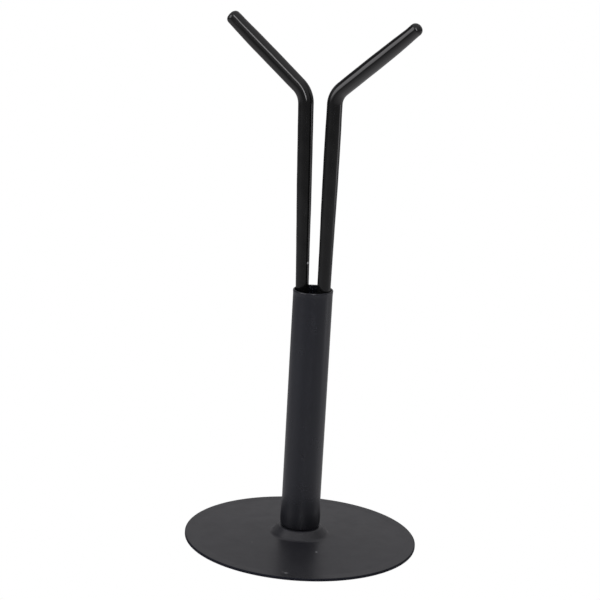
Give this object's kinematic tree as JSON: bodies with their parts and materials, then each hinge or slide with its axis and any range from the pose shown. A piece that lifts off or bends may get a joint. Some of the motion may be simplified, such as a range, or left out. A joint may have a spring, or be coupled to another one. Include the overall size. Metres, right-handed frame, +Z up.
{
  "type": "forked display stand",
  "caption": "Small display stand: a round pressed base, a straight tube post and a two-pronged coated fork that slides and turns in the post.",
  "frame": {"origin": "centre of the resting plane, under the middle of the round base", "axes": "+Z up along the post; +X towards the right prong; the fork lies in the plane of X and Z at rest"},
  "size_m": [0.0762, 0.0762, 0.1728],
  "materials": {
    "base_enamel": "satin black baked enamel on pressed sheet steel",
    "post_enamel": "satin black baked enamel on thin steel tube",
    "dip_coat": "glossy black dipped vinyl",
    "pad_foam": "matte black closed-cell foam rubber",
    "ring_rubber": "matte black nitrile rubber",
    "nylon": "matte black nylon",
    "zinc_steel": "bright zinc plated steel",
    "bare_steel": "drawn steel"
  },
  "bodies": {
    "stand_base": {"base_plate": "base_enamel", "foot_pad": "pad_foam", "base_screw": "zinc_steel", "lock_washer": "zinc_steel", "flat_washer": "zinc_steel", "foot_plug": "bare_steel", "post_tube": "post_enamel"},
    "ring": {"friction_ring": "ring_rubber"},
    "carrier": {"fork_carrier": "nylon"},
    "left_prong": {"left_prong_wire": "bare_steel", "left_prong_sleeve": "dip_coat"},
    "right_prong": {"right_prong_wire": "bare_steel", "right_prong_sleeve": "dip_coat"}
  },
  "joints": [
    {"name": "fork_slide", "type": "slide", "parent": "stand_base", "child": "ring", "axis": [0, 0, 1], "range_m": [-0.022, 0.033]},
    {"name": "fork_swivel", "type": "hinge", "parent": "ring", "child": "carrier", "pos_m": [0, 0, 0.0463], "axis": [0, 0, 1], "continuous": true},
    {"name": "left_prong_flex", "type": "hinge", "parent": "carrier", "child": "left_prong", "pos_m": [-0.00334, 0, 0.0463], "axis": [0, -1, 0], "range_deg": [-1.15, 1.72]},
    {"name": "right_prong_flex", "type": "hinge", "parent": "carrier", "child": "right_prong", "pos_m": [0.00334, 0, 0.0463], "axis": [0, 1, 0], "range_deg": [-1.15, 1.72]}
  ],
  "couplings": [
    {"joint": "left_prong_flex", "follows": "fork_slide", "rad_per_m": 0.9},
    {"joint": "right_prong_flex", "follows": "fork_slide", "rad_per_m": 0.9}
  ]
}
